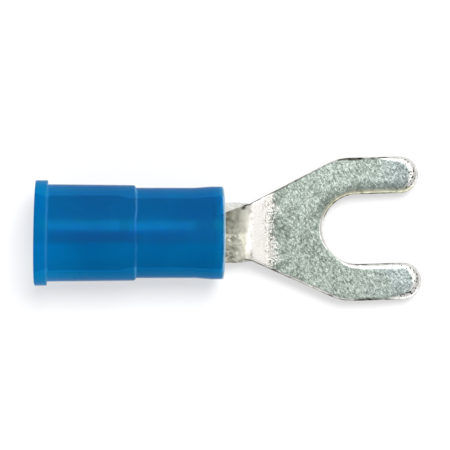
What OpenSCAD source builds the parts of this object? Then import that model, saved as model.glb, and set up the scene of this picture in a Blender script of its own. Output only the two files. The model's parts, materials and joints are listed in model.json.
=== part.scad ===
// Fork terminal for a small wire: a forked metal tongue with a rolled barrel, a metal sleeve that
// grips the wire's insulation, and a moulded insulator over both.
// Millimetres. The origin is the stud's centre on the underside of the fork, +Z is up along the stud,
// and +X runs along the barrel towards the open end of the fork.

/* [Wire fit] */
// Diameter of the bore that takes the bare conductor
wire_bore_d = 2.3; // [1.6:0.1:3.2]
// Diameter of the bore that takes the wire's insulation
insulation_bore_d = 4.3; // [4.2:0.1:6]
// Clearance between nested pieces, on the radius
fit_gap = 0.03; // [0.01:0.01:0.08]

/* [Insulator] */
// Length of the insulator
insulator_length = 11.6; // [10:0.1:16]
// Distance from the wire entry to the outer step
step_x = 6.13; // [4:0.01:8]
// Length of the slope at the outer step
step_slope = 0.1; // [0.05:0.05:0.4]
// Wall of the front half
front_wall = 0.63; // [0.3:0.01:1]
// Wall of the rear half at the outer step
rear_wall = 0.62; // [0.3:0.01:1]
// Growth of the rear half's radius from the step to the rim
rear_draft = 0.05; // [0:0.005:0.15]
// Height of the rim above the rear half
rim_rise = 0.25; // [0.18:0.01:0.6]
// Width of the rim
rim_width = 0.76; // [0.4:0.01:1.5]
// Rounding of the rim's outer corners
rim_round = 0.14; // [0.05:0.01:0.18]
// Length of the funnel at the wire entry
funnel_length = 0.85; // [0.4:0.05:1.6]
// Growth of the funnel's radius towards the wire entry
funnel_rise = 0.35; // [0.1:0.05:0.6]
// Growth of the radius at the flared front end
flare_rise = 0.08; // [0:0.01:0.3]
// Length of the flare's slope
flare_slope = 1.1; // [0.5:0.1:2]
// Length of the straight band in front of the flare
flare_band = 0.7; // [0.2:0.1:1.5]

/* [Grip sleeve] */
// Wall of the grip sleeve
grip_wall = 0.15; // [0.12:0.01:0.4]
// Length of the slope between the sleeve's two diameters
grip_slope = 0.6; // [0.2:0.05:0.8]
// Distance from that slope's front end to the insulator's outer step
grip_slope_setback = 0.35; // [0.2:0.05:0.8]
// Distance from the sleeve's front end to the insulator's front end
grip_setback = 0.75; // [0.5:0.05:2]

/* [Barrel] */
// Thickness of the sheet that the terminal is stamped from
stock = 0.8; // [0.5:0.05:1.1]
// Distance from the barrel's front edge to the insulator's front end
barrel_setback = 0.4; // [0.2:0.05:0.7]
// Chamfer in the barrel's mouth
mouth_chamfer = 0.2; // [0.05:0.05:0.4]
// Number of gripping grooves in the barrel's bore
groove_count = 3; // [0:1:5]
// Width of a gripping groove
groove_width = 0.3; // [0.2:0.05:0.5]
// Depth of a gripping groove
groove_depth = 0.08; // [0.04:0.01:0.15]
// Width of the seam along the top of the barrel
seam_width = 0.14; // [0.06:0.02:0.3]

/* [Neck] */
// Width of the strip between the barrel and the fork
neck_width = 3.6; // [2.6:0.1:4.4]
// Length over which the strip opens from the barrel's curve to flat
uncurl_length = 2.25; // [1.2:0.05:4]
// Sideways lean of the fork from the barrel's axis, in degrees
fork_lean = 1.7; // [-4:0.1:4]

/* [Fork] */
// Width of the slot that takes the stud
slot_width = 4.4; // [3.2:0.1:6.5]
// Width of a tine
tine_width = 2.3; // [1.6:0.1:3.2]
// Distance from the flat end of the neck to the stud's centre
stud_reach = 6.72; // [6:0.02:10]
// Distance from the stud's centre to the centre of a tine's round end
tine_reach = 2.8; // [1.5:0.1:6]
// Angle of the widening sides from the fork's axis, in degrees
side_angle = 25.7; // [22:0.1:40]
// Radius where the widening sides turn into the tines
shoulder_radius = 3.1; // [0.5:0.1:4]
// Depth by which the fork's face is coined below the sheet
coin_depth = 0.12; // [0.02:0.01:0.25]
// Length of the slope down to the coined face
ramp_length = 1.2; // [0.4:0.1:2]
// Width of the rolled edge round the slot
roll_width = 0.3; // [0.16:0.02:0.4]
// Depth of the rolled edge round the slot
roll_depth = 0.14; // [0.08:0.01:0.25]
// Angle at which the rolled edge leaves the coined face, in degrees
roll_angle = 8; // [4:1:12]
// Extra width of the rolled edge at a tine's tip
tip_roll = 0.15; // [0:0.01:0.2]
// Angle at which the rolled edge runs out on a tine's outer side, in degrees
roll_fade = 6; // [4:1:12]
// Length of that run-out
fade_length = 3; // [2:0.5:5]

/* [Hidden] */
$fn = 96;
corner_steps = 5;
curl_steps = 10;
curl_sides = 14;
// Spare length of a cutter past the face that it cuts
over = 1;
// The neck runs this far into the barrel and the fork, with its skin this deep in theirs
weld_length = 0.1;
weld_depth = 0.02;

// Radii, from the bores outwards
bore_r = wire_bore_d / 2;
barrel_r = bore_r + stock;
grip_front_r = barrel_r + fit_gap;
grip_front_outer = grip_front_r + grip_wall;
grip_rear_r = insulation_bore_d / 2;
grip_rear_outer = grip_rear_r + grip_wall;
front_bore_r = grip_front_outer + fit_gap;
front_r = front_bore_r + front_wall;
rear_bore_r = grip_rear_outer + fit_gap;
rear_r = rear_bore_r + rear_wall;
rim_foot_r = rear_r + rear_draft;
rim_r = rim_foot_r + rim_rise;

// Places along the barrel's axis, from the wire entry
grip_slope_end = step_x - grip_slope_setback;
grip_slope_start = grip_slope_end - grip_slope;
grip_rear_x = funnel_length + fit_gap;
grip_front_x = insulator_length - grip_setback;
barrel_rear_x = grip_slope_end + fit_gap;
barrel_front_x = insulator_length - barrel_setback;
barrel_length = barrel_front_x - barrel_rear_x;
band_x = insulator_length - flare_band;
flare_x = band_x - flare_slope;
flat_x = barrel_front_x + uncurl_length;

// The neck's sideways bend, and the stud's place in the barrel's frame
flat_y = uncurl_length * tan(fork_lean) / 2;
stud_x = flat_x + stud_reach * cos(fork_lean);
stud_y = flat_y + stud_reach * sin(fork_lean);

// The fork in its own frame: u from the flat end of the neck, v across
slot_r = slot_width / 2;
tine_r = tine_width / 2;
fork_half = slot_r + tine_width;
tine_u = stud_reach + tine_reach;
tine_v = slot_r + tine_r;
corner_u = (fork_half - neck_width / 2) / tan(side_angle);
corner_tangent = shoulder_radius * tan(side_angle / 2);
shoulder_u = corner_u + corner_tangent;
shoulder_v = fork_half - shoulder_radius;
face_z = stock - coin_depth;

// The rolled edge's section is an arc through its inner and outer ends
roll_r = (pow(roll_width, 2) + pow(roll_depth, 2))
    / (2 * (roll_depth * cos(roll_angle) - roll_width * sin(roll_angle)));
roll_q = -roll_width - roll_r * sin(roll_angle);
roll_z = -roll_r * cos(roll_angle);

// Points of an arc from angle a to angle b
function arc(centre, r, a, b) = [for (i = [0 : corner_steps])
    let (t = a + (b - a) * i / corner_steps)
    centre + r * [cos(t), sin(t)]];

// A solid turned about the barrel's axis from an outline of [x, radius] points
module turned(outline) {
    translate([0, 0, barrel_r])
        rotate([0, 90, 0])
            rotate_extrude()
                polygon([for (p = outline) [p.y, p.x]]);
}

// Moves the barrel's frame so that the stud's centre is the origin
module on_stud() {
    translate([-stud_x, -stud_y, 0]) children();
}

module insulator() {
    outside = concat(
        arc([rim_round, rim_r - rim_round], rim_round, 180, 90),
        arc([rim_width - rim_round, rim_r - rim_round], rim_round, 90, 0),
        [[rim_width, rim_foot_r],
         [step_x, rear_r],
         [step_x + step_slope, front_r],
         [flare_x, front_r],
         [band_x, front_r + flare_rise],
         [insulator_length, front_r + flare_rise]]);
    inside = [
        [insulator_length, front_bore_r + flare_rise],
        [band_x, front_bore_r + flare_rise],
        [flare_x, front_bore_r],
        [grip_slope_end, front_bore_r],
        [grip_slope_start, rear_bore_r],
        [funnel_length, rear_bore_r],
        [funnel_length, grip_rear_r],
        [0, grip_rear_r + funnel_rise]];
    color("#0a66a3")
        on_stud()
            turned(concat(outside, inside));
}

module grip_sleeve() {
    color("#b3aa98")
        on_stud()
            turned([
                [grip_rear_x, grip_rear_outer],
                [grip_slope_start, grip_rear_outer],
                [grip_slope_end, grip_front_outer],
                [grip_front_x, grip_front_outer],
                [grip_front_x, grip_front_r],
                [grip_slope_end, grip_front_r],
                [grip_slope_start, grip_rear_r],
                [grip_rear_x, grip_rear_r]]);
}

// The rolled barrel before its bore is cut
module barrel_blank() {
    turned([
        [barrel_rear_x, 0],
        [barrel_rear_x, barrel_r],
        [barrel_front_x, barrel_r],
        [barrel_front_x, 0]]);
}

// The barrel's bore, with its chamfered mouth and gripping grooves
module barrel_bore() {
    pitch = barrel_length / (groove_count + 1);
    grooves = [for (i = [1 : 1 : groove_count])
        let (x = barrel_rear_x + i * pitch)
        each [[x - groove_width / 2, bore_r],
              [x - groove_width / 2 + groove_depth, bore_r + groove_depth],
              [x + groove_width / 2 - groove_depth, bore_r + groove_depth],
              [x + groove_width / 2, bore_r]]];
    turned(concat(
        [[barrel_rear_x - over, 0],
         [barrel_rear_x - over, bore_r + mouth_chamfer],
         [barrel_rear_x, bore_r + mouth_chamfer],
         [barrel_rear_x + mouth_chamfer, bore_r]],
        grooves,
        [[barrel_front_x, bore_r],
         [barrel_front_x, 0]]));
}

// The groove that the barrel's closed seam leaves along its top
module barrel_seam() {
    side = seam_width / sqrt(2);
    translate([barrel_rear_x + barrel_length / 2, 0, 2 * barrel_r])
        rotate([45, 0, 0])
            cube([barrel_length + over, side, side], center = true);
}

// A point of the neck: x along it from the barrel's front edge, s across the strip and
// n through the sheet from its underside
function neck_point(x, s, n) =
    let (t = min(max(x / uncurl_length, 0), 1),
         bend = (1 - t) / (bore_r + stock / 2),
         outer = bend > 0 ? 1 / bend + stock / 2 : 0,
         turn = s * bend * 180 / PI,
         y = bend > 0 ? (outer - n) * sin(turn) : s,
         z = bend > 0 ? outer - (outer - n) * cos(turn) : n,
         heading = atan(t * tan(fork_lean)))
    [barrel_front_x + x - y * sin(heading), t * x * tan(fork_lean) / 2 + y * cos(heading), z];

// The strip that carries the fork, curled like the barrel at one end and flat at the other
module neck() {
    ring = 2 * (curl_sides + 1);
    width = neck_width - 2 * weld_depth;
    across = [for (j = [0 : curl_sides]) width * (j / curl_sides - 1 / 2)];
    along = [-weld_length,
             for (i = [0 : curl_steps]) weld_depth + (uncurl_length - 2 * weld_depth) * i / curl_steps,
             uncurl_length + weld_length];
    points = [for (x = along)
        each concat([for (s = across) neck_point(x, s, weld_depth)],
                    [for (j = [curl_sides : -1 : 0]) neck_point(x, across[j], stock - weld_depth)])];
    sides = [for (i = [0 : len(along) - 2], j = [0 : ring - 1])
        let (a = i * ring + j,
             b = i * ring + (j + 1) % ring)
        each [[a, b + ring, b], [a, a + ring, b + ring]]];
    start = [for (j = [0 : ring - 1]) j];
    end = [for (j = [ring - 1 : -1 : 0]) (len(along) - 1) * ring + j];
    polyhedron(points, concat(sides, [start, end]));
}

// Outline of the fork seen from above
module fork_outline() {
    side_v = shoulder_v + shoulder_radius * cos(side_angle);
    side_u = shoulder_u - shoulder_radius * sin(side_angle);
    difference() {
        union() {
            polygon([
                [0, -neck_width / 2],
                [side_u, -side_v],
                [shoulder_u, -fork_half],
                [tine_u, -fork_half],
                [tine_u, fork_half],
                [shoulder_u, fork_half],
                [side_u, side_v],
                [0, neck_width / 2]]);
            for (side = [-1, 1]) {
                translate([shoulder_u, side * shoulder_v]) circle(shoulder_radius);
                translate([tine_u, side * tine_v]) circle(tine_r);
            }
        }
        translate([stud_reach, 0]) circle(slot_r);
        translate([stud_reach, -slot_r]) square([tine_reach + tine_r + over, slot_width]);
    }
}

// Section that a rolled edge takes off, with the edge at the origin and the sheet at its left
module roll_section() {
    difference() {
        translate([-roll_width, roll_z]) square([roll_width + over, over - roll_z]);
        translate([roll_q, roll_z]) circle(roll_r);
    }
}

// Straight rolled edge along +u from the origin, with the sheet on the side of +v
module roll_line(length) {
    rotate([90, 0, 90])
        linear_extrude(length)
            mirror([1, 0]) roll_section();
}

// Rolled edges of one side of the slot and of that side's tine
module tine_rolls() {
    tip_u = tine_u - tip_roll;
    translate([stud_reach, slot_r, 0]) roll_line(tip_u - stud_reach);
    translate([tip_u, tine_v, 0]) {
        rotate_extrude(angle = 180 - roll_fade, start = -90)
            translate([tine_r, 0]) roll_section();
        rotate([0, 0, 180 - roll_fade])
            translate([0, -tine_r, 0]) roll_line(fade_length);
    }
}

module fork() {
    difference() {
        linear_extrude(stock) fork_outline();
        rotate([90, 0, 0])
            linear_extrude(2 * (fork_half + over), center = true)
                polygon([
                    [0, stock],
                    [ramp_length, face_z],
                    [tine_u + tine_r + over, face_z],
                    [tine_u + tine_r + over, stock + over],
                    [0, stock + over]]);
        translate([0, 0, face_z]) {
            tine_rolls();
            mirror([0, 1, 0]) tine_rolls();
            translate([stud_reach, 0, 0])
                rotate_extrude(angle = 180, start = 90)
                    translate([slot_r, 0]) mirror([1, 0]) roll_section();
        }
    }
}

module terminal() {
    color("#c3c9c4")
        on_stud()
            difference() {
                union() {
                    barrel_blank();
                    neck();
                    translate([flat_x, flat_y, 0]) rotate([0, 0, fork_lean]) fork();
                }
                barrel_bore();
                barrel_seam();
            }
}

insulator();
grip_sleeve();
terminal();
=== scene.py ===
"""Looks of a fork terminal: a blue moulded insulator, the metal grip sleeve inside it, and a tin-plated
fork whose neck and barrel are curled from one flat blank. Sizes are in millimetres up to the meshes,
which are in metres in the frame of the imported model."""

import json
import math

import bpy
import numpy as np
from mathutils import Euler, Matrix, Vector
from mathutils.geometry import delaunay_2d_cdt


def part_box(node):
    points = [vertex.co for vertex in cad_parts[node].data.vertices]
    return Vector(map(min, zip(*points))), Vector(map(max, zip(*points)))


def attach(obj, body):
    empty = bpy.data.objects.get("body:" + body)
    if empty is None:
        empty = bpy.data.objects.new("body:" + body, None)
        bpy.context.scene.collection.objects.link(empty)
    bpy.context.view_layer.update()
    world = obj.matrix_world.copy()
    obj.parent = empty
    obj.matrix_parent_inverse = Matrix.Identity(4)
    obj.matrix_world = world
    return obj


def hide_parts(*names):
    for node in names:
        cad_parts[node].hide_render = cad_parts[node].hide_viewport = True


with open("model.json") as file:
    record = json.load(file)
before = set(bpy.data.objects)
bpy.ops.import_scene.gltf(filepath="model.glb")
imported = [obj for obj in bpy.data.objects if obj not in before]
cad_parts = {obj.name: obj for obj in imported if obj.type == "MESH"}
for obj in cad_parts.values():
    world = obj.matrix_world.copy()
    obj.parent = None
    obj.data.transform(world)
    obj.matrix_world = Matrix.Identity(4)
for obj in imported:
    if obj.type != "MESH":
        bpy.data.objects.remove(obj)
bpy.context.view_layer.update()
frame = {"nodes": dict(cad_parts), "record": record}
MM = 0.001
MOUNTS = {mount["name"]: mount["dims"] for mount in frame["record"]["mounts"] if "dims" in mount}

# The barrel's axis and its start at the wire entry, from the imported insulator
LOW, HIGH = (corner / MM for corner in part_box("insulator"))
ENTRY = Vector((LOW.x, (LOW.y + HIGH.y) / 2, (LOW.z + HIGH.z) / 2))
INSULATOR_LENGTH = HIGH.x - LOW.x
RIM_R = (HIGH.y - LOW.y) / 2
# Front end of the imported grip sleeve
GRIP_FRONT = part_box("grip_sleeve")[1].x / MM

# Insulator: the gap between pieces, and the walls of the grip sleeve and of the front body
FIT_GAP = 0.03
GRIP_WALL = 0.15
FRONT_WALL = 0.63
# Outer step: its place from the wire entry, and the length of its slope
STEP_X = 6.13
STEP_SLOPE = 0.1
# Rim, its slant across the sleeve, and the taper of the rear body
RIM_RISE = 0.25
RIM_WIDTH = 0.76
RIM_SLANT = math.tan(math.radians(0.9))
REAR_DRAFT = 0.05
# Funnel at the wire entry
FUNNEL_LENGTH = 0.85
FUNNEL_RISE = 0.35
# Flared front end: a slope and a straight band
FLARE_RISE = 0.08
FLARE_SLOPE = 1.1
FLARE_BAND = 0.7
# Slope of the bore inside the step, and the setback of the grip sleeve's front end
GRIP_SLOPE = 0.6
GRIP_SLOPE_SETBACK = 0.35
GRIP_SETBACK = 0.75
# Roundings of the edges: crisp ones, the rim, the step and the soft flare
CRISP = 0.05
RIM_ROUND = 0.1
STEP_ROUND = 0.16
FLARE_ROUND = 0.9

# Terminal: the sheet, the barrel and the neck
STOCK = 0.8
BARREL_SETBACK = 0.4
SEAM_GAP = 0.02
NECK_WIDTH = 3.6
NECK_FILLET = 0.3
UNCURL_LENGTH = 2.25
# Fork: its lean to the far side, its sides and shoulders, and the reach to the stud and of the tines past it
FORK_LEAN = math.radians(1.7)
SIDE_ANGLE = math.radians(25.7)
SHOULDER_RADIUS = 3.1
STUD_REACH = 6.72
TINE_REACH = 2.8
TINE_WIDTH = 2.3
# Coined face: its depth below the neck, and the ramp down to it
COIN_DEPTH = 0.12
RAMP_LENGTH = 1.2
# Widths of the rolled edges: in the slot, the extra at the tips, plain, at the barrel's mouth, and below
SLOT_ROLL = 0.3
TIP_ROLL = 0.26
EDGE_ROLL = 0.06
MOUTH_ROLL = 0.2
UNDER_ROLL = 0.05
# Fading of the tips' roll, slope of the mouth's, and depth of a roll as a share of its width, with a limit
TIP_ROLL_FADE = 1.6
MOUTH_SLOPE = 0.5
ROLL_DEPTH = 0.55
ROLL_DEPTH_LIMIT = 0.22
# Uneven rolls: the extra shares on the tines and on the near side, and the length over which they come in
TINE_EXTRA = 0.25
NEAR_EXTRA = 2.0
EXTRA_FADE = 1.0
# Thin stretch of the slot's roll: its loss, and its bearing and span in degrees
THIN_LOSS = 0.75
THIN_BEARING = 45
THIN_SPAN = 22

# Noise: the range that its values mostly lie in, a narrower one, and levels of detail
NOISE_RANGE = (0.3, 0.7)
NARROW_RANGE = (0.35, 0.65)
NO_DETAIL = 0.0
SMOOTH = 1.0
MEDIUM = 2.0
ROUGH = 3.0
FINE = 4.0
# How far from a half a noise spreads a surface's colours: as a rule, and in strong contrast
PATCH_REACH = 0.2
STRONG_REACH = 0.15

# Colours are linear, and run from a surface's dark patches to its light ones. A span is a start and an end,
# and a third number is how softly a band fades outside them.

# Nylon backed by metal on the far side and on the near side, where it is painted lighter as lit; the strip
# between, a painted dark reflection; and the bare ends, painted lighter as lit through
NYLON_FAR = ((0.007, 0.145, 0.4), (0.005, 0.174, 0.43))
# Painted light: the near side's nylon is lighter than the far side's
NYLON_NEAR_LIT = ((0.001, 0.17, 0.43), (0.001, 0.2, 0.465))
# Painted reflection: a darker strip just on the near side of the axis, where the metal inside mirrors the
# dark sky overhead
NYLON_DARK_REFLECTION = (0.008, 0.138, 0.385)
# Painted light: the bare ends, lighter as light shows through where no metal backs them
NYLON_END_LIT_THROUGH = (0.001, 0.21, 0.485)
# Nylon lit through at the wire entry, and painted highlights along the creases and at the front lip
NYLON_GLOW = (0.001, 0.238, 0.54)
# Painted highlight: pale lines along the rim's edge and the outer step
NYLON_CREASE_HIGHLIGHT = (0.15, 0.55, 0.95)
# Painted highlight: the front lip, near white
NYLON_LIP_HIGHLIGHT = (0.75, 0.93, 1.0)
# Its gloss, roughness, index and clearness, and the strength and depth of its ripples
NYLON_SHINE = (0.02, 2.55, 1.25)
NYLON_HAZE = (0.18, 0.22)
NYLON_IOR = 1.06
NYLON_CLEAR = 0.68
NYLON_RIPPLE = (0.1, 0.01)
# Sizes of the noise in its colour, roughness and ripples
CLOUD_SIZE = 2.5
HAZE_SIZE = 0.6
RIPPLE_SIZE = 0.9
# Spans of its painted light and shade across the sleeve from its axis, and along it from the wire entry
NEAR_LIT_ACROSS = (-0.8, -0.5)
DARK_REFLECTION_ACROSS = (-0.5, 0.0, 0.15)
DARK_REFLECTION_START = 2.2
DARK_REFLECTION_SETBACK = 0.3
DARK_REFLECTION_SOFT = 1.2
GLOW_END = 3.0
END_FADE = 0.3
# Shares of the glow on the far side and of the bare tone at the front end, painted lighter as lit through
FAR_GLOW_SHARE = 0.25
FRONT_END_SHARE = 0.4
# Creases: the reach of their painted highlights and of the lip's, and the share of the highlight at the rim
CREASE_REACH = 0.1
LIP_REACH = 0.14
RIM_HIGHLIGHT_SHARE = 0.3
# The step's painted highlight waves and breaks, and is faint between the far side and the near edge
STEP_WAVE = 0.05
WAVE_SIZE = 1.1
BREAK_SIZE = 0.9
BREAK_SHARES = (0.2, 1.0)
LINE_FAR = (-0.2, 1.4)
LINE_NEAR = (-2.2, -1.8)
LINE_NEAR_SHARE = 0.8
LINE_FAINT = 0.35

# Grip sleeve: its metal, roughness, grain, and the strength and depth of its bumps
SLEEVE_METAL = ((0.56, 0.53, 0.48), (0.74, 0.71, 0.66))
SLEEVE_ROUGHNESS = (0.34, 0.46)
SLEEVE_GRAIN = 0.3
SLEEVE_BUMP = (0.3, 0.01)
# Its added roughness at the front, and the distances from its front end between which that comes in
SLEEVE_DULL = 0.4
DULL_REACH = (-1.8, -0.5)

# Coined face: its green and its blue grain, and the noise and span of the border between them
FACE_GREEN = ((0.071, 0.086, 0.073), (0.17, 0.2, 0.176), (0.325, 0.363, 0.33))
FACE_BLUE = ((0.07, 0.084, 0.083), (0.165, 0.195, 0.19), (0.315, 0.358, 0.352))
TINT_SIZE = 2.0
TINT_SHIFT = 5.0
TINT_ALONG = (10.0, 12.0)
# Crossed strokes of the grain
STROKE_LENGTH = 0.22
STROKE_WIDTH = 0.11
STROKE_TURN = math.radians(-55)
STROKE_ROUGHNESS = 0.55
STROKE_BEND = 1.2
CROSS_SHARE = 0.35
GRAIN_REACH = 0.12
# Patches of the grain, and its shade beside the slot on the far side
GRAIN_PATCH = 1.0
PATCH_DEPTH = 0.018
FAR_SIDE = (0.6, 1.4)
SHADE_WIDTH = 0.25
SHADE_SOFT = 0.25
SHADE_DEPTH = 0.08
# Its darker middle and its lighter near tip
MIDDLE_ACROSS = (-1.3, 0.9, 0.8)
MIDDLE_SOFT = 0.7
MIDDLE_DEPTH = 0.022
NEAR_TIP_LENGTH = 1.5
NEAR_TIP_ACROSS = (-2.0, 0.0)
NEAR_TIP_RISE = 0.03
# Blotches past the end of the ramp
BLOTCH_SIZE = 0.45
BLOTCH_FADE = (0.6, 1.5)
BLOTCH_DEPTHS = (-0.075, 0.035)
# Border between the ramp and the face: its noise, the pull of the grain, and its span from the ramp's end
BORDER_SIZE = 0.7
BORDER_SHIFT = 0.5
BORDER_GRAIN = -3.0
BORDER_SPAN = (-1.1, -0.7)
# Roughness of the smooth and the grainy tin, and the strength and depth of the grain's bumps
TIN_ROUGHNESS = (0.26, 0.52)
GRAIN_BUMP = (0.5, 0.03)

# Ramp: its far side and its near side, painted lighter as lit, the flat tin before and after it, and where
# these lie
RAMP_FAR = ((0.357, 0.346, 0.33), (0.386, 0.375, 0.357))
RAMP_NEAR_LIT = ((0.466, 0.455, 0.43), (0.506, 0.493, 0.466))
FLAT_TIN = (0.318, 0.312, 0.292)
MOTTLE_SIZE = 0.5
RAMP_ACROSS = (-1.6, 1.6)
SLOPE_START = 0.1
SLOPE_SETBACK = 0.22
SLOPE_SOFT = 0.2
# Neck: tin with stains and painted shade, darkest deep in the trough by the sleeve; lighter tin with wear
# where that shade ends; a painted highlight on its near side; bright spots; and the far cut edge, painted
# light
# Painted shade with stains: the dark tones of the trough, darkest by the sleeve
NECK_STAIN_AND_SHADE = ((0.17, 0.174, 0.137), (0.38, 0.38, 0.315))
# Lighter tin with wear, where the painted shade ends towards the ramp
NECK_WORN_AND_LIT = (0.485, 0.48, 0.425)
# Painted highlight: the pale near side of the neck by the ramp's start
NECK_NEAR_HIGHLIGHT = (0.55, 0.538, 0.468)
NECK_SPOT = (0.6, 0.59, 0.51)
# Painted light: the far cut edge, bright where it faces up to the light
CUT_EDGE_LIT = ((0.6, 0.6, 0.56), (0.8, 0.8, 0.76))
STAIN_AND_SHADE_SIZE = 0.35
STAIN_ROUGHNESS = 0.5
# Size of the ragged noise, how far it moves the wear where the painted shade ends and the ramp's start, and
# how far the near side does
RAGGED_SIZE = 0.25
WORN_AND_LIT_RAGGED = 0.8
START_RAGGED = 0.6
START_NEAR = 0.12
# Spans of the wear where the painted shade ends, the painted highlight and the ramp's start along the neck,
# and of its near side across it
WORN_AND_LIT_ALONG = (-0.8, 0.15)
HIGHLIGHT_ALONG = (-0.38, -0.05)
START_ALONG = (-0.05, 0.4)
NEAR_ACROSS = (-1.15, -0.2, 0.5)
# Spots on the near side: in a line along the trough and by the edge
SPOT_SIZE = 0.25
SPOT_RANGE = (0.52, 0.62)
SPOT_SHARE = 0.8
SPOT_LINE = (-0.6, -0.25, 0.25)
SPOT_EDGE = (-1.5, -1.3)
# Slope of the far cut edge and its side of the middle, and the fading of the stain and painted shade into
# the barrel
CUT_STEEP = (0.3, 0.7)
PAST_MIDDLE = (-0.1, 0.1)
BARREL_FADE = 0.1

# Rolled edges: bright tin, the cream of the slot's far side, painted darker as shade, and the sheet's wall
ROLL_TIN = ((0.7, 0.69, 0.66), (0.88, 0.87, 0.85))
ROLL_CREAM_SHADE = ((0.4, 0.4, 0.28), (0.62, 0.62, 0.48))
WALL_TIN = ((0.4, 0.39, 0.365), (0.55, 0.54, 0.51))
CREAM_REACH = 1.5
WALL_STEEP = (0.9, 1.0)
WALL_INSET = (0.12, 0.25)
# Ragged border between a roll and the face
ROLL_RAGGED = 0.5
OFF_ROLL = (0.05, 0.55)
ON_ROLL = (0.6, 1.0)
# Dark sheared line along the edges: its colour, width and start, and its added roughness
SHEARED = ((0.015, 0.015, 0.012), (0.15, 0.14, 0.12))
SHEAR_INSET = (0.07, 0.12)
SHEAR_RAGGED = 0.06
SHEAR_START = (-0.5, -0.4)
SHEAR_ROUGHNESS = 0.3
# It is wider on the outer edges of the tines: by how much, how far from the slot, and from where to where
OUTER_EXTRA = 0.04
OUTER_GAP = (-0.4, -0.3)
OUTER_LEAD = 0.3
OUTER_SETBACK = 1.2
OUTER_SOFT = 0.5
# It breaks into dashes, but is whole by the ramp and on the near side, and fades at the tips
DASH_SIZE = 0.7
DASH_RANGE = (0.38, 0.58)
DASH_SHARES = (0.25, 1.0)
RAMP_WHOLE = 0.9
NEAR_WHOLE = 0.65
NEAR_WHOLE_ACROSS = (-2.2, -1.8)
TIP_FADE = 1.0
TIP_SHARE = 0.4
# It is bare round the end of the slot: spans from the stud's place, across, and from the slot's wall
BARE_ALONG = (-1.0, -0.5)
BARE_ACROSS = (0.4, 1.0)
BARE_GAP = (0.5, 0.7)
# Specks at the tips, from their centres, and at the end of the ramp, and a painted shadow spot by the neck's
# far edge
SPECK_AND_SHADOW = (0.06, 0.06, 0.05)
SPECK_SIZE = 0.12
SPECK_RANGE = (0.6, 0.66)
TIP_SPECKS = (-0.9, -0.3)
SPECK_STEEP = (0.05, 0.7, 0.1)
RAMP_SPECKS = (-0.4, 0.05)
RAMP_SPECK_SOFT = 0.1
RAMP_SPECK_SHARE = 0.5
SHADOW_SPOT_ALONG = (-0.5, -0.42, 0.2)
SHADOW_SPOT_ACROSS = (1.62, 1.7, 0.16)

# Floor: its size, its clearance from the part, its tones and its own light
FLOOR_SIZE = 1000
FLOOR_CLEARANCE = 0.01
FLOOR_TONES = ((0.34, 0.34, 0.34), (0.36, 0.36, 0.36))
FLOOR_PATCH = 40.0
FLOOR_REACH = 0.5
FLOOR_ROUGHNESS = 0.9
FLOOR_GLOW = 0.49
WHITE = (1.0, 1.0, 1.0)
# Camera: its lens and sensor, and its place and aim on the plane of the fork's face
LENS = 160.6
SENSOR = 36
CAMERA_HEIGHT = 125.4
CAMERA_OVER = (-16.1, -0.2)
CAMERA_AIM = (-8.36, 0.26)
# Key light: a soft box above, and its leans towards the right and the far side
KEY_DISTANCE = 500
KEY_LEAN = (0.13, 0.36)
KEY_LENGTH = 200
KEY_WIDTH = 210
KEY_RADIANCE = 22.5
# Sky: its brightness by height, brightest low down, and how much brighter it is on the near side
SKY_LEVELS = ((0.45, 1.0), (0.65, 0.45), (0.9, 0.45), (0.97, 0.2))
SKY_NEAR = 1.8
SKY_NEAR_SPAN = (-0.7, 0.1)

# Fineness of the meshes: sides and steps of round stretches, and steps along edges and over faces
TURN_SIDES = 192
FILLET_STEPS = 6
ROLL_STEPS = 6
EDGE_STEP = 0.1
FACE_STEP = 0.16
# Clearance of a face's inner points from its edge, as a share of their step
GRID_CLEARANCE = 0.6
# Distance under which two points are one, tolerance of a filled face, and the bend of a flat sheet
SAME_POINT = 0.001
FILL_TOLERANCE = 1e-7
LEAST_BEND = 1e-9
# The way of filling that keeps only the triangles inside the ring
FILL_INSIDE = 1

# Derived sizes
BORE_R = MOUNTS["wire_barrel"]["r_mm"]
SLOT_R = MOUNTS["stud_slot"]["r_mm"]
GRIP_R = MOUNTS["insulation_grip"]["r_mm"]
BARREL_R = BORE_R + STOCK
MID_R = BORE_R + STOCK / 2
FRONT_BORE_R = BARREL_R + GRIP_WALL + 2 * FIT_GAP
FRONT_R = FRONT_BORE_R + FRONT_WALL
REAR_BORE_R = GRIP_R + GRIP_WALL + FIT_GAP
RIM_FOOT_R = RIM_R - RIM_RISE
REAR_R = RIM_FOOT_R - REAR_DRAFT
STEP_MIDDLE = STEP_X + STEP_SLOPE / 2
GRIP_SLOPE_END = STEP_X - GRIP_SLOPE_SETBACK
GRIP_END = INSULATOR_LENGTH - GRIP_SETBACK
BARREL_REAR_X = GRIP_SLOPE_END + FIT_GAP
BARREL_FRONT_X = INSULATOR_LENGTH - BARREL_SETBACK
BARREL_LENGTH = BARREL_FRONT_X - BARREL_REAR_X
BARREL_END = BARREL_SETBACK - UNCURL_LENGTH
TINE_R = TINE_WIDTH / 2
TINE_U = STUD_REACH + TINE_REACH
TINE_V = SLOT_R + TINE_R
FORK_HALF = SLOT_R + TINE_WIDTH
SIDE_LENGTH = (FORK_HALF - NECK_WIDTH / 2) / math.tan(SIDE_ANGLE)
SHOULDER_U = SIDE_LENGTH + SHOULDER_RADIUS * math.tan(SIDE_ANGLE / 2)
SHOULDER_V = FORK_HALF - SHOULDER_RADIUS
SEAM_S = math.pi * MID_R - SEAM_GAP
ROLL_ANGLES = np.linspace(0, math.pi / 2, ROLL_STEPS + 1)


def past(place, span):
    """A span of distances measured from a place."""
    return tuple(place + distance for distance in span)


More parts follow.
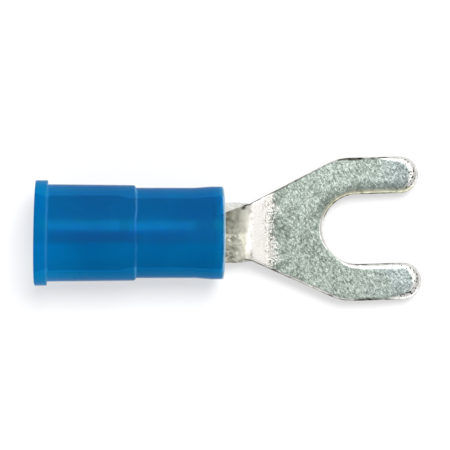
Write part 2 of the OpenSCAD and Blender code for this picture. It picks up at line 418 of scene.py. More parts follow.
def new_piece(name, points, faces, material, node):
    """A smooth mesh piece from points in millimetres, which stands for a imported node."""
    mesh = bpy.data.meshes.new(name)
    mesh.from_pydata((np.asarray(points) * MM).tolist(), [], faces)
    mesh.validate()
    mesh.shade_smooth()
    mesh.materials.append(material)
    piece = bpy.data.objects.new(name, mesh)
    bpy.context.scene.collection.objects.link(piece)
    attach(piece, "root")
    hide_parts(node)
    return piece


def store(piece, name, values):
    """Keeps a number at each point of a piece."""
    numbers = piece.data.attributes.new(name, "FLOAT", "POINT")
    numbers.data.foreach_set("value", np.asarray(values, dtype=np.float32))


# The insulator, turned about the barrel's axis

def filleted(corners):
    """Points of a closed outline of (x, radius, rounding) corners, with each corner as a short curve."""
    points = []
    for i, corner in enumerate(corners):
        here = Vector(corner[:2])
        before = Vector(corners[i - 1][:2]) - here
        after = Vector(corners[(i + 1) % len(corners)][:2]) - here
        half_turn = (math.pi - before.angle(after)) / 2
        reach = corner[2] * math.tan(half_turn)
        start = here + before.normalized() * reach
        end = here + after.normalized() * reach
        for step in range(FILLET_STEPS + 1):
            t = step / FILLET_STEPS
            points.append(start.lerp(here, t).lerp(here.lerp(end, t), t))
    return points


def turned(name, outline, material, node):
    """A closed piece turned from (x, radius) points, with its rear end slanted."""
    x, r = np.array(outline).T
    angle = np.linspace(0, 2 * math.pi, TURN_SIDES, endpoint=False)[:, None]
    y = r * np.sin(angle)
    slant = RIM_SLANT * y * np.clip(1 - x / STEP_X, 0, 1)
    rings = np.stack(np.broadcast_arrays(ENTRY.x + x + slant, ENTRY.y + y, ENTRY.z + r * np.cos(angle)), 2)
    count = len(outline)
    faces = []
    for side in range(TURN_SIDES):
        here = side * count
        there = (side + 1) % TURN_SIDES * count
        for i in range(count):
            j = (i + 1) % count
            faces.append((here + i, here + j, there + j, there + i))
    return new_piece(name, rings.reshape(-1, 3), faces, material, node)


def insulator(material):
    """The moulded sleeve, which keeps each point's depth from the wire entry and its side of the axis."""
    band_x = INSULATOR_LENGTH - FLARE_BAND
    flare_x = band_x - FLARE_SLOPE
    outline = filleted([
        (0, RIM_R, RIM_ROUND),
        (RIM_WIDTH, RIM_R, CRISP),
        (RIM_WIDTH, RIM_FOOT_R, CRISP),
        (STEP_X, REAR_R, STEP_ROUND),
        (STEP_X + STEP_SLOPE, FRONT_R, CRISP),
        (flare_x, FRONT_R, FLARE_ROUND),
        (band_x, FRONT_R + FLARE_RISE, FLARE_ROUND),
        (INSULATOR_LENGTH, FRONT_R + FLARE_RISE, CRISP),
        (INSULATOR_LENGTH, FRONT_BORE_R + FLARE_RISE, CRISP),
        (band_x, FRONT_BORE_R + FLARE_RISE, FLARE_ROUND),
        (flare_x, FRONT_BORE_R, FLARE_ROUND),
        (GRIP_SLOPE_END, FRONT_BORE_R, CRISP),
        (GRIP_SLOPE_END - GRIP_SLOPE, REAR_BORE_R, CRISP),
        (FUNNEL_LENGTH, REAR_BORE_R, CRISP),
        (FUNNEL_LENGTH, GRIP_R, CRISP),
        (0, GRIP_R + FUNNEL_RISE, CRISP)])
    piece = turned("nylon_insulator", outline, material, "insulator")
    store(piece, "depth", np.tile(np.array(outline)[:, 0], TURN_SIDES))
    store(piece, "side", [vertex.co.y / MM - ENTRY.y for vertex in piece.data.vertices])


# The terminal, built flat: along runs from the flat end of the neck, across from the blank's middle

def straight(start, end):
    """Points of a line, both ends included."""
    count = math.ceil(math.dist(start, end) / EDGE_STEP) + 1
    return np.linspace(start, end, count)


def arc(centre, radius, start, end):
    """Points of an arc between two angles in degrees, both ends included."""
    count = math.ceil(math.radians(abs(end - start)) * radius / EDGE_STEP) + 1
    angle = np.radians(np.linspace(start, end, count))
    return np.array(centre) + radius * np.stack([np.cos(angle), np.sin(angle)], 1)


def slot_gap(points):
    """Distance of points of the blank from the slot's wall."""
    out = points - (STUD_REACH, 0)
    beside = np.where(out[:, 0] > 0, np.abs(out[:, 1]), np.linalg.norm(out, axis=1))
    return beside - SLOT_R


def roll_share(points):
    """Width of the rolled edge at points of the outline, as a share of an even roll."""
    along = points[:, 0]
    out = points - (STUD_REACH, 0)
    bearing = np.degrees(np.arctan2(-out[:, 1], -out[:, 0]))
    in_slot = slot_gap(points) < EDGE_STEP
    thin = in_slot * np.exp(-((bearing - THIN_BEARING) / THIN_SPAN) ** 2)
    on_tine = np.clip(out[:, 0] / EXTRA_FADE, 0, 1)
    past_ramp = np.clip((along - RAMP_LENGTH) / EXTRA_FADE, 0, 1)
    before_tine = np.clip(1 - (along - SHOULDER_U) / EXTRA_FADE, 0, 1)
    on_near = past_ramp * before_tine * (points[:, 1] < 0) * ~in_slot
    return 1 + TINE_EXTRA * on_tine + NEAR_EXTRA * on_near - THIN_LOSS * thin


def blank_edge():
    """The blank's outline, anticlockwise, as points and the width of the rolled edge at each point."""
    rear = -UNCURL_LENGTH - BARREL_LENGTH
    side_turn = math.degrees(SIDE_ANGLE)
    neck_half = NECK_WIDTH / 2
    fillet_centre = (NECK_FILLET - UNCURL_LENGTH, neck_half + NECK_FILLET)
    slot = np.concatenate([
        arc((STUD_REACH, 0), SLOT_R, 180, 90),
        straight((STUD_REACH, SLOT_R), (TINE_U, SLOT_R))])
    tip = arc((TINE_U, TINE_V), TINE_R, -90, 90)
    outer = straight((TINE_U, FORK_HALF), (SHOULDER_U, FORK_HALF))
    shoulder = arc((SHOULDER_U, SHOULDER_V), SHOULDER_RADIUS, 90, 90 + side_turn)
    plain_edge = np.concatenate([
        shoulder,
        straight(shoulder[-1], (0, neck_half)),
        straight((0, neck_half), (fillet_centre[0], neck_half)),
        arc(fillet_centre, NECK_FILLET, 270, 180),
        straight((-UNCURL_LENGTH, fillet_centre[1]), (-UNCURL_LENGTH, SEAM_S)),
        straight((-UNCURL_LENGTH, SEAM_S), (rear, SEAM_S))])
    mouth = straight((rear, SEAM_S), (rear, 0))
    fade = np.clip((TINE_U - outer[:, 0]) / TIP_ROLL_FADE, 0, 1)
    parts = [
        (slot, np.full(len(slot), SLOT_ROLL)),
        (tip, SLOT_ROLL + TIP_ROLL * (tip[:, 0] - TINE_U) / TINE_R),
        (outer, SLOT_ROLL + (EDGE_ROLL - SLOT_ROLL) * fade),
        (plain_edge, np.full(len(plain_edge), EDGE_ROLL)),
        (mouth, np.minimum(MOUTH_ROLL, EDGE_ROLL + (SEAM_S - mouth[:, 1]) * MOUTH_SLOPE))]
    points = np.concatenate([part[0] for part in parts])
    rolls = np.concatenate([part[1] for part in parts])
    fresh = np.append(True, np.linalg.norm(np.diff(points, axis=0), axis=1) > SAME_POINT)
    points, rolls = points[fresh], rolls[fresh]
    mirrored = points[-2:0:-1] * (1, -1)
    points = np.concatenate([points, mirrored])
    rolls = np.concatenate([rolls, rolls[-2:0:-1]])
    return points, rolls * roll_share(points)


def inset_direction(points):
    """The way into the sheet at each point of an anticlockwise outline, long enough to mitre corners."""
    ahead = np.roll(points, -1, 0) - points
    ahead /= np.linalg.norm(ahead, axis=1)[:, None]
    after = np.stack([-ahead[:, 1], ahead[:, 0]], 1)
    before = np.roll(after, 1, 0)
    return (before + after) / (1 + (before * after).sum(1))[:, None]


def inner_points(ring):
    """A triangular grid of points inside a ring, clear of it."""
    row_step = FACE_STEP * math.sqrt(3) / 2
    low, high = ring.min(0), ring.max(0)
    rows = np.arange(low[1] + row_step, high[1], row_step)
    columns = np.arange(low[0] + FACE_STEP, high[0], FACE_STEP)
    stagger = FACE_STEP / 2 * (np.arange(len(rows)) % 2)
    grid = np.stack(np.broadcast_arrays(columns + stagger[:, None], rows[:, None]), 2).reshape(-1, 2)
    a, b = ring, np.roll(ring, -1, 0)
    spans = (a[:, 1] > grid[:, None, 1]) != (b[:, 1] > grid[:, None, 1])
    rise = np.where(a[:, 1] == b[:, 1], 1, b[:, 1] - a[:, 1])
    cross = a[:, 0] + (grid[:, None, 1] - a[:, 1]) * (b[:, 0] - a[:, 0]) / rise
    inside = (spans & (grid[:, None, 0] < cross)).sum(1) % 2 == 1
    grid = grid[inside]
    clear = np.linalg.norm(grid[:, None] - ring, axis=2).min(1) > FACE_STEP * GRID_CLEARANCE
    return grid[clear]


def face_height(along):
    """Height of the sheet's upper face: full on the neck, coined down over a ramp on the fork."""
    t = np.clip(along / RAMP_LENGTH, 0, 1)
    return STOCK - COIN_DEPTH * t


def curled(along, across, height):
    """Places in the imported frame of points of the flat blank: round in the barrel, flat in the fork."""
    x = along + UNCURL_LENGTH
    t = np.clip(x / UNCURL_LENGTH, 0, 1)
    bend = np.maximum((1 - t) / MID_R, LEAST_BEND)
    outer = 1 / bend + STOCK / 2
    flat = t >= 1
    y = np.where(flat, across, (outer - height) * np.sin(across * bend))
    z = np.where(flat, height, outer - (outer - height) * np.cos(across * bend))
    heading = np.arctan(t * math.tan(FORK_LEAN))
    on_fork = np.maximum(along, 0)
    centre_x = np.minimum(x, UNCURL_LENGTH) + on_fork * math.cos(FORK_LEAN)
    centre_y = t * np.minimum(x, UNCURL_LENGTH) * math.tan(FORK_LEAN) / 2 + on_fork * math.sin(FORK_LEAN)
    return np.stack([
        ENTRY.x + BARREL_FRONT_X + centre_x - y * np.sin(heading),
        ENTRY.y + centre_y + y * np.cos(heading),
        ENTRY.z - BARREL_R + z], 1)


def edge_rings(edge, roll):
    """Rings round the sheet, from its lower face over the wall to its upper face, as places and heights."""
    inward = inset_direction(edge)
    depth = np.minimum(ROLL_DEPTH * roll, ROLL_DEPTH_LIMIT)
    rings = []
    for angle in ROLL_ANGLES:
        place = edge + inward * UNDER_ROLL * (1 - math.sin(angle))
        rings.append((place, np.full(len(edge), UNDER_ROLL * (1 - math.cos(angle)))))
    for angle in ROLL_ANGLES[::-1]:
        place = edge + inward * (roll * (1 - math.sin(angle)))[:, None]
        rings.append((place, face_height(place[:, 0]) - depth * (1 - math.cos(angle))))
    return rings


def filled(ring, first, inner, inner_first, upward):
    """Triangles over a ring and the points inside it, as indices from the given starts."""
    count = len(ring)
    flat = [Vector(p) for p in np.concatenate([ring, inner])]
    border = list(range(count))
    _, _, triangles, sources, _, _ = delaunay_2d_cdt(flat, [], [border], FILL_INSIDE, FILL_TOLERANCE)
    faces = []
    for triangle in triangles:
        corners = [sources[i][0] for i in triangle]
        shifted = [first + i if i < count else inner_first + i - count for i in corners]
        faces.append(tuple(shifted if upward else reversed(shifted)))
    return faces


def terminal(material):
    """The stamping, which keeps each point's place on the blank, its slope and its distance from edges."""
    edge, roll = blank_edge()
    count = len(edge)
    rings = edge_rings(edge, roll)
    faces = []
    for k in range(len(rings) - 1):
        for i in range(count):
            j = (i + 1) % count
            faces.append((k * count + i, k * count + j, (k + 1) * count + j, (k + 1) * count + i))
    upper = inner_points(rings[-1][0])
    lower = inner_points(rings[0][0])
    upper_first = len(rings) * count
    lower_first = upper_first + len(upper)
    faces += filled(rings[-1][0], (len(rings) - 1) * count, upper, upper_first, True)
    faces += filled(rings[0][0], 0, lower, lower_first, False)
    flat = np.concatenate([ring[0] for ring in rings] + [upper, lower])
    height = np.concatenate([ring[1] for ring in rings] + [face_height(upper[:, 0]), np.zeros(len(lower))])
    points = curled(flat[:, 0], flat[:, 1], height)
    piece = new_piece("tin_plated_terminal", points, faces, material, "terminal")
    slopes = np.sin(ROLL_ANGLES)
    steep = np.concatenate([np.repeat([*slopes, *slopes[::-1]], count), np.zeros(len(upper) + len(lower))])
    below = np.full(len(slopes) * count, STOCK)
    rolled = [roll * (1 - slope) for slope in slopes[::-1]]
    inset = np.concatenate([below, *rolled, np.full(len(upper), FACE_STEP), np.full(len(lower), STOCK)])
    store(piece, "along", flat[:, 0])
    store(piece, "across", flat[:, 1])
    store(piece, "steep", steep)
    store(piece, "inset", inset)
    store(piece, "slot_gap", slot_gap(flat))


# Materials

class Shader:
    """A node tree, with short ways to add the nodes that it is built from."""

    # Places of the two colours among the inputs of a mix, and of the mixed one among its outputs
    FIRST_COLOUR = 6
    SECOND_COLOUR = 7
    MIXED_COLOUR = 2

    def __init__(self, owner):
        owner.use_nodes = True
        self.tree = owner.node_tree
        self.tree.nodes.clear()

    def add(self, kind, inputs, **settings):
        """A node whose inputs are set to values, or linked where they are given sockets."""
        node = self.tree.nodes.new(kind)
        for key, value in settings.items():
            setattr(node, key, value)
        for key, value in inputs.items():
            socket = node.inputs[key]
            if isinstance(value, bpy.types.NodeSocket):
                self.tree.links.new(value, socket)
            elif socket.type == "RGBA":
                socket.default_value = (*value, 1)
            else:
                socket.default_value = value
        return node

    def number(self, name):
        """A number stored at the mesh's points."""
        return self.add("ShaderNodeAttribute", {}, attribute_name=name).outputs["Fac"]

    def place(self):
        """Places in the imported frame, in metres."""
        return self.add("ShaderNodeTexCoord", {}).outputs["Object"]

    def noise(self, size, detail=MEDIUM):
        """Noise with features of about the given size in millimetres."""
        inputs = {"Vector": self.place(), "Scale": 1 / (size * MM), "Detail": detail}
        return self.add("ShaderNodeTexNoise", inputs).outputs["Fac"]

    def strokes(self, length, width, turn):
        """Noise drawn out into strokes of a length and width in millimetres, turned from the length."""
        scale = (length * MM, width * MM, width * MM)
        mapping = {"Vector": self.place(), "Rotation": (0, 0, turn), "Scale": scale}
        laid = self.add("ShaderNodeMapping", mapping, vector_type="TEXTURE").outputs["Vector"]
        inputs = {"Vector": laid, "Scale": 1.0, "Detail": ROUGH, "Roughness": STROKE_ROUGHNESS,
                  "Distortion": STROKE_BEND}
        return self.add("ShaderNodeTexNoise", inputs).outputs["Fac"]

    def ramp(self, value, stops):
        """Colours at (position, colour) stops."""
        node = self.add("ShaderNodeValToRGB", {"Fac": value})
        elements = node.color_ramp.elements
        while len(elements) < len(stops):
            elements.new(1)
        for element, (position, colour) in zip(elements, stops):
            element.position = position
            element.color = (*colour, 1)
        return node.outputs["Color"]

    def patches(self, value, colours, reach=PATCH_REACH):
        """Colours spread evenly over a noise, whose values lie within a reach of a half."""
        places = np.linspace(0.5 - reach, 0.5 + reach, len(colours))
        return self.ramp(value, list(zip(places, colours)))

    def spread(self, value, start, end, first=0.0, last=1.0):
        """A value carried from one range to another, and held at its ends."""
        inputs = {"Value": value, "From Min": start, "From Max": end, "To Min": first, "To Max": last}
        return self.add("ShaderNodeMapRange", inputs).outputs["Result"]

    def rise(self, value, span):
        """0 before a span of values, and 1 after it."""
        return self.spread(value, *span)

    def fall(self, value, span):
        """1 before a span of values, and 0 after it."""
        return self.spread(value, *span, 1.0, 0.0)

    def band(self, value, start, end, soft):
        """1 between two values, down to 0 over a soft reach outside them."""
        return self.times(self.rise(value, (start - soft, start)), self.fall(value, (end, end + soft)))

    def combine(self, operation, numbers):
        """The result of an operation on numbers, from the first to the last."""
        result = numbers[0]
        for number in numbers[1:]:
            result = self.add("ShaderNodeMath", {0: result, 1: number}, operation=operation).outputs[0]
        return result

    def plus(self, *terms):
        """A sum."""
        return self.combine("ADD", terms)

    def times(self, *factors):
        """A product."""
        return self.combine("MULTIPLY", factors)

    def largest(self, *numbers):
        """The largest of some numbers."""
        return self.combine("MAXIMUM", numbers)

    def rest(self, share):
        """What a share leaves of 1."""
        return self.fall(share, (0.0, 1.0))

    def mix(self, factor, first, second):
        """A colour between two colours."""
        inputs = {"Factor": factor, self.FIRST_COLOUR: first, self.SECOND_COLOUR: second}
        return self.add("ShaderNodeMix", inputs, data_type="RGBA").outputs[self.MIXED_COLOUR]

    def bump(self, height, strength, depth):
        """Normals of a surface that rises and falls by a depth in millimetres."""
        inputs = {"Height": height, "Strength": strength, "Distance": depth * MM}
        return self.add("ShaderNodeBump", inputs).outputs["Normal"]

    def finish(self, inputs):
        """A surface of the given look."""
        surface = self.add("ShaderNodeBsdfPrincipled", inputs).outputs["BSDF"]
        self.add("ShaderNodeOutputMaterial", {"Surface": surface})


def step_highlight(s, depth, side):
    """Share of the painted highlight along the outer step."""
    wave = s.spread(s.noise(WAVE_SIZE, SMOOTH), *NOISE_RANGE, -STEP_WAVE, STEP_WAVE)
    line = s.band(s.plus(depth, wave), STEP_MIDDLE, STEP_MIDDLE, CREASE_REACH)
    broken = s.spread(s.noise(BREAK_SIZE, SMOOTH), *NARROW_RANGE, *BREAK_SHARES)
    far_share = s.spread(side, *LINE_FAR, LINE_FAINT, 1.0)
    near_share = s.spread(side, *LINE_NEAR, LINE_NEAR_SHARE, LINE_FAINT)
    return s.times(line, broken, s.largest(far_share, near_share))


def blue_nylon():
    """See-through nylon, with painted light: lighter on its near side and at the ends that hold no metal, as
    lit through there, with painted highlights along its creases and at the front lip, and a painted dark
    reflection along the rear body.
    """
    material = bpy.data.materials.new("see_through_blue_nylon")
    s = Shader(material)
    depth = s.number("depth")
    side = s.number("side")
    cloud = s.noise(CLOUD_SIZE)
    # Painted light: the near side takes the lighter tone
    near = s.fall(side, NEAR_LIT_ACROSS)
    # Painted reflection: the darker strip beside the axis on the rear body
    dark_reflection = s.times(s.band(side, *DARK_REFLECTION_ACROSS), s.band(depth, DARK_REFLECTION_START, STEP_X - DARK_REFLECTION_SETBACK, DARK_REFLECTION_SOFT))
    far_tone = s.mix(dark_reflection, s.patches(cloud, NYLON_FAR), NYLON_DARK_REFLECTION)
    backed = s.mix(near, far_tone, s.patches(cloud, NYLON_NEAR_LIT))
    # Painted light: the rim and the front end, lighter as lit through
    rear_end = s.fall(depth, (FUNNEL_LENGTH - END_FADE / 2, FUNNEL_LENGTH + END_FADE / 2))
    front_end = s.spread(depth, GRIP_END, GRIP_END + END_FADE, 0.0, FRONT_END_SHARE)
    ends_lit_through = s.mix(s.plus(rear_end, front_end), backed, NYLON_END_LIT_THROUGH)
    glow = s.times(s.fall(depth, (FUNNEL_LENGTH, GLOW_END)), s.spread(near, 0.0, 1.0, FAR_GLOW_SHARE, 1.0))
    lit = s.mix(glow, ends_lit_through, NYLON_GLOW)
    # Painted highlights along the rim's edge and the outer step
    rim_highlight = s.times(s.band(depth, RIM_WIDTH, RIM_WIDTH, CREASE_REACH), RIM_HIGHLIGHT_SHARE)
    creased = s.mix(s.plus(rim_highlight, step_highlight(s, depth, side)), lit, NYLON_CREASE_HIGHLIGHT)
    # Painted highlight at the front lip
    lip = s.rise(depth, (INSULATOR_LENGTH - LIP_REACH, INSULATOR_LENGTH))
    s.finish({
        "Base Color": s.mix(lip, creased, NYLON_LIP_HIGHLIGHT),
        "Roughness": s.spread(s.noise(HAZE_SIZE), *NOISE_RANGE, *NYLON_HAZE),
        "Normal": s.bump(s.noise(RIPPLE_SIZE), *NYLON_RIPPLE),
        "IOR": NYLON_IOR,
        "Transmission Weight": NYLON_CLEAR,
        "Specular Tint": NYLON_SHINE})
    return material


def sleeve_metal():
    """Plated metal, duller towards the front end of the sleeve."""
    material = bpy.data.materials.new("plated_sleeve_metal")
    s = Shader(material)
    grain = s.noise(SLEEVE_GRAIN, FINE)
    x = s.add("ShaderNodeSeparateXYZ", {"Vector": s.place()}).outputs["X"]
    dull_start, dull_end = past(GRIP_FRONT, DULL_REACH)
    dull = s.spread(x, dull_start * MM, dull_end * MM, 0.0, SLEEVE_DULL)
    s.finish({
        "Base Color": s.patches(grain, SLEEVE_METAL),
        "Roughness": s.plus(s.spread(grain, *NOISE_RANGE, *SLEEVE_ROUGHNESS), dull),
        "Normal": s.bump(grain, *SLEEVE_BUMP),
        "Metallic": 1.0})
    return material


class TinPlate(Shader):
    """The terminal's plating, with the numbers kept on its mesh and the shares of its main regions."""

    def __init__(self, owner):
        super().__init__(owner)
        self.along = self.number("along")
        self.across = self.number("across")
        self.steep = self.number("steep")
        self.inset = self.number("inset")
        self.gap = self.number("slot_gap")
        self.ragged = self.noise(RAGGED_SIZE)
        self.on_far = self.rise(self.across, FAR_SIDE)
        self.near_side = self.band(self.across, *NEAR_ACROSS)
        self.grain = self.coined_grain()
        self.set_regions()

    def coined_grain(self):
        """Crossed strokes in patches, deeper in the middle and by the slot, and blotched by the ramp."""
        long = self.strokes(STROKE_LENGTH, STROKE_WIDTH, STROKE_TURN)
        cross = self.strokes(STROKE_LENGTH, STROKE_WIDTH, STROKE_TURN + math.pi / 2)
        patchy = self.spread(self.noise(GRAIN_PATCH), *NOISE_RANGE, -PATCH_DEPTH, PATCH_DEPTH)
        shade = self.band(self.gap, SLOT_ROLL, SLOT_ROLL + SHADE_WIDTH, SHADE_SOFT)
        middle = self.times(self.band(self.along, RAMP_LENGTH, STUD_REACH - SLOT_R, MIDDLE_SOFT),
                            self.band(self.across, *MIDDLE_ACROSS))
        near_tip = self.times(self.rise(self.along, (TINE_U - NEAR_TIP_LENGTH, TINE_U)),
                              self.fall(self.across, NEAR_TIP_ACROSS))
        by_ramp = self.fall(self.along, past(RAMP_LENGTH, BLOTCH_FADE))
        blotches = self.spread(self.noise(BLOTCH_SIZE), *NARROW_RANGE, *BLOTCH_DEPTHS)
        return self.plus(
            self.times(long, 1 - CROSS_SHARE),
            self.times(cross, CROSS_SHARE),
            patchy,
            self.times(shade, self.on_far, -SHADE_DEPTH),
            self.times(middle, -MIDDLE_DEPTH),
            self.times(near_tip, NEAR_TIP_RISE),
            self.times(by_ramp, blotches))

    def set_regions(self):
        """Shares of the grainy face, the rolled edges, the barrel, and the neck's cut edge and trough."""
        border = self.plus(self.along, self.times(self.noise(BORDER_SIZE), BORDER_SHIFT),
                           self.times(self.grain, BORDER_GRAIN))
        on_face = self.rise(border, past(RAMP_LENGTH, BORDER_SPAN))
        off_roll = self.fall(self.times(self.steep, self.plus(self.ragged, ROLL_RAGGED)), OFF_ROLL)
        self.grainy = self.times(on_face, off_roll)
        self.on_roll = self.times(on_face, self.fall(off_roll, ON_ROLL))
        self.in_barrel = self.fall(self.along, (BARREL_END - BARREL_FADE, BARREL_END))
        start = self.plus(self.along, self.times(self.ragged, START_RAGGED),
                          self.times(self.near_side, START_NEAR))
        in_neck = self.times(self.fall(start, START_ALONG), self.rest(self.in_barrel))
        far_edge = self.times(self.rise(self.steep, CUT_STEEP), self.rise(self.across, PAST_MIDDLE))
        self.on_cut = self.times(in_neck, far_edge)
        self.in_trough = self.times(in_neck, self.rest(far_edge))

    def coined_colour(self):
        """Green-grey grain, bluer towards the tips."""
        green = self.patches(self.grain, FACE_GREEN, GRAIN_REACH)
        blue = self.patches(self.grain, FACE_BLUE, GRAIN_REACH)
        tipward = self.plus(self.along, self.times(self.noise(TINT_SIZE, SMOOTH), TINT_SHIFT))
        return self.mix(self.rise(tipward, TINT_ALONG), green, blue)

    def ramp_colour(self):
        """Smooth tin, with painted light that makes it brightest on the near side of the ramp."""
        mottle = self.noise(MOTTLE_SIZE)
        # Painted light: the near side of the ramp is lighter
        sloped = self.mix(self.rise(self.across, RAMP_ACROSS),
                          self.patches(mottle, RAMP_NEAR_LIT), self.patches(mottle, RAMP_FAR))
        on_ramp = self.band(self.along, SLOPE_START, RAMP_LENGTH - SLOPE_SETBACK, SLOPE_SOFT)
        return self.mix(on_ramp, FLAT_TIN, sloped)

    def neck_colour(self):
        """Tin in the curled neck with stains and painted shade, lighter with wear towards the ramp where
        that shade ends, with a painted highlight and bright spots on the near side.
        """
        # Stains and painted shade in the trough
        stain_and_shade = self.patches(self.noise(STAIN_AND_SHADE_SIZE, ROUGH), NECK_STAIN_AND_SHADE, STRONG_REACH)
        uneven = self.plus(self.along, self.times(self.ragged, WORN_AND_LIT_RAGGED))
        # Wear, and the end of the painted shade, towards the ramp
        worn_and_lit = self.mix(self.rise(uneven, WORN_AND_LIT_ALONG), stain_and_shade, NECK_WORN_AND_LIT)
        # Painted highlight on the near side by the ramp's start
        with_near_highlight = self.mix(self.times(self.near_side, self.rise(uneven, HIGHLIGHT_ALONG)), worn_and_lit, NECK_NEAR_HIGHLIGHT)
        spotted = self.plus(self.band(self.across, *SPOT_LINE), self.fall(self.across, SPOT_EDGE))
        spots = self.times(spotted, self.spread(self.noise(SPOT_SIZE), *SPOT_RANGE, 0.0, SPOT_SHARE))
        return self.mix(spots, with_near_highlight, NECK_SPOT)

    def roll_colour(self):
        """Bright rolled edges, cream with painted shade on the far side of the slot, and the duller wall
        below them.
        """
        # Painted shade: the slot's roll on the far side faces away from the light
        in_cream_shade = self.times(self.on_far, self.fall(self.gap, (SLOT_ROLL, SLOT_ROLL * CREAM_REACH)))
        rolled = self.mix(in_cream_shade, self.patches(self.ragged, ROLL_TIN, STRONG_REACH),
                          self.patches(self.ragged, ROLL_CREAM_SHADE, STRONG_REACH))
        on_wall = self.times(self.rise(self.steep, WALL_STEEP), self.rise(self.inset, WALL_INSET))
        return self.mix(on_wall, rolled, self.patches(self.ragged, WALL_TIN))

    def plated_colour(self):
        """The plating of every region, with its painted light and shade, before its dark marks."""
        trough = self.mix(self.in_trough, self.ramp_colour(), self.neck_colour())
        # Painted light on the far cut edge
        smooth = self.mix(self.on_cut, trough, self.patches(self.ragged, CUT_EDGE_LIT))
        edged = self.mix(self.on_roll, smooth, self.roll_colour())
        return self.mix(self.grainy, edged, self.coined_colour())

    def sheared_line(self):
        """Share of the dark line along the sheared edges."""
        outer_tine = self.times(
            self.rise(self.gap, past(TINE_WIDTH, OUTER_GAP)),
            self.band(self.along, SHOULDER_U - OUTER_LEAD, TINE_U - OUTER_SETBACK, OUTER_SOFT))
        uneven = self.plus(self.inset, self.times(self.ragged, SHEAR_RAGGED),
                           self.times(outer_tine, -OUTER_EXTRA))
        line = self.times(self.fall(uneven, SHEAR_INSET), self.rise(self.along, SHEAR_START))
        dashes = self.largest(
            self.spread(self.noise(DASH_SIZE), *DASH_RANGE, *DASH_SHARES),
            self.spread(self.along, RAMP_LENGTH / 2, RAMP_LENGTH, RAMP_WHOLE, 0.0),
            self.spread(self.across, *NEAR_WHOLE_ACROSS, NEAR_WHOLE, 0.0))
        to_tip = self.spread(self.along, TINE_U - TIP_FADE, TINE_U, 1.0, TIP_SHARE)
        bare = self.times(self.fall(self.along, past(STUD_REACH, BARE_ALONG)),
                          self.fall(self.across, BARE_ACROSS), self.fall(self.gap, BARE_GAP))
        return self.times(line, dashes, to_tip, self.rest(bare))

    def specks_and_shadow_spot(self):
        """Share of the dark dots at the tips and the ramp's end, and of the painted shadow spot beside the
        neck.
        """
        dots = self.rise(self.noise(SPECK_SIZE, NO_DETAIL), SPECK_RANGE)
        at_tip = self.times(self.rise(self.along, past(TINE_U, TIP_SPECKS)),
                            self.band(self.steep, *SPECK_STEEP))
        ramp_end = self.band(self.along, *past(RAMP_LENGTH, RAMP_SPECKS), RAMP_SPECK_SOFT)
        speckled = self.plus(at_tip, self.times(ramp_end, RAMP_SPECK_SHARE))
        on_top = self.fall(self.inset, (FACE_STEP, STOCK))
        # Painted shadow: a dark spot where the neck's far wall meets the flat
        shadow_spot = self.times(on_top, self.band(self.along, *SHADOW_SPOT_ALONG), self.band(self.across, *SHADOW_SPOT_ACROSS))
        return self.largest(self.times(dots, speckled), shadow_spot)


def tin_plate():
    """Tin that is grainy on the coined face, smooth and bright on the ramp and the rolled edges, with stains
    and painted shade in the curled neck and painted shade on the far roll of the slot, painted light on the
    near sides of the ramp and neck and on the far cut edge, and dark along its sheared edges."""
    material = bpy.data.materials.new("grainy_tin")
    s = TinPlate(material)
    line = s.sheared_line()
    sheared = s.mix(line, s.plated_colour(), s.patches(s.ragged, SHEARED))
    s.finish({
        "Base Color": s.mix(s.specks_and_shadow_spot(), sheared, SPECK_AND_SHADOW),
        "Roughness": s.plus(s.spread(s.grainy, 0.0, 1.0, *TIN_ROUGHNESS),
                            s.times(s.plus(s.in_trough, s.in_barrel), STAIN_ROUGHNESS),
                            s.times(line, SHEAR_ROUGHNESS)),
        "Normal": s.bump(s.times(s.grain, s.grainy), *GRAIN_BUMP),
        "Metallic": 1.0})
    return material


def pale_floor():
    """A matt white that gives off a little light."""
    material = bpy.data.materials.new("pale_floor")
    s = Shader(material)
    s.finish({
        "Base Color": s.patches(s.noise(FLOOR_PATCH), FLOOR_TONES, FLOOR_REACH),
        "Roughness": FLOOR_ROUGHNESS,
        "Specular IOR Level": 0.0,
        "Emission Color": WHITE,
        "Emission Strength": FLOOR_GLOW})
    return material


# Floor, light and camera

def floor():
    """The ground under the rim and the flared front end, on which the sleeve lies."""
    rim_x = ENTRY.x + RIM_WIDTH / 2
    flare_x = ENTRY.x + INSULATOR_LENGTH - FLARE_BAND / 2
    slope = math.atan2(RIM_R - FRONT_R - FLARE_RISE, flare_x - rim_x)
    half = FLOOR_SIZE / 2 * MM
    corners = [(-half, -half, 0), (half, -half, 0), (half, half, 0), (-half, half, 0)]
    mesh = bpy.data.meshes.new("floor")
    mesh.from_pydata(corners, [], [(0, 1, 2, 3)])
    mesh.materials.append(pale_floor())
    ground = bpy.data.objects.new("floor", mesh)
    ground.location = Vector((rim_x, ENTRY.y, ENTRY.z - RIM_R - FLOOR_CLEARANCE)) * MM
    ground.rotation_euler = Euler((0, -slope, 0))
    bpy.context.scene.collection.objects.link(ground)


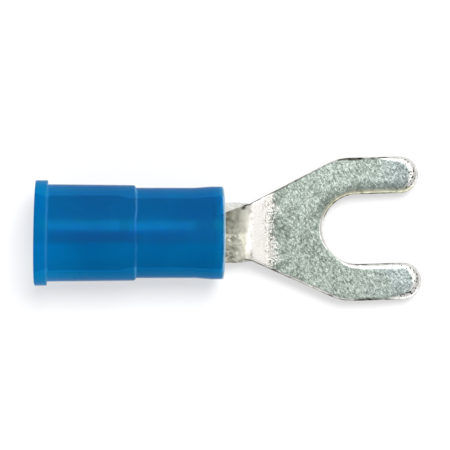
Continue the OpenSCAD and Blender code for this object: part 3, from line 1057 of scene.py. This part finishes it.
def facing(back):
    """The turn of a light or camera that faces away from a direction, with its width along the part."""
    right = Vector((0, 1, 0)).cross(back).normalized()
    return Matrix((right, back.cross(right), back)).transposed().to_euler()


def key_light():
    """A soft box whose light falls on the part from above the far right."""
    data = bpy.data.lights.new("key", "AREA")
    data.shape = "RECTANGLE"
    data.size = KEY_LENGTH * MM
    data.size_y = KEY_WIDTH * MM
    data.energy = KEY_RADIANCE * math.pi * data.size * data.size_y
    light = bpy.data.objects.new("key", data)
    away = Vector((*KEY_LEAN, 1)).normalized()
    light.location = away * KEY_DISTANCE * MM
    light.rotation_euler = facing(away)
    bpy.context.scene.collection.objects.link(light)


def sky():
    """A white surround, brighter low down and on the near side."""
    world = bpy.data.worlds.new("sky")
    s = Shader(world)
    way = s.add("ShaderNodeTexCoord", {}).outputs["Generated"]
    parts = s.add("ShaderNodeSeparateXYZ", {"Vector": way})
    near = s.spread(parts.outputs["Y"], *SKY_NEAR_SPAN, SKY_NEAR, 1.0)
    level = s.ramp(parts.outputs["Z"], [(height, (value,) * 3) for height, value in SKY_LEVELS])
    background = s.add("ShaderNodeBackground", {"Color": level, "Strength": near}).outputs["Background"]
    s.add("ShaderNodeOutputWorld", {"Surface": background})
    bpy.context.scene.world = world


def camera():
    """Looks down on the part from above the sleeve, towards the middle of the part."""
    face = STOCK - COIN_DEPTH
    data = bpy.data.cameras.new("camera")
    data.lens = LENS
    data.sensor_width = SENSOR
    data.clip_start = MM
    eye = bpy.data.objects.new("camera", data)
    place = Vector((*CAMERA_OVER, face + CAMERA_HEIGHT))
    back = (place - Vector((*CAMERA_AIM, face))).normalized()
    eye.location = place * MM
    eye.rotation_euler = facing(back)
    bpy.context.scene.collection.objects.link(eye)
    bpy.context.scene.camera = eye


insulator(blue_nylon())
terminal(tin_plate())
grip = frame["nodes"]["grip_sleeve"]
grip.data.materials.clear()
grip.data.materials.append(sleeve_metal())
floor()
key_light()
sky()
camera()
bpy.context.scene.view_settings.view_transform = "Standard"
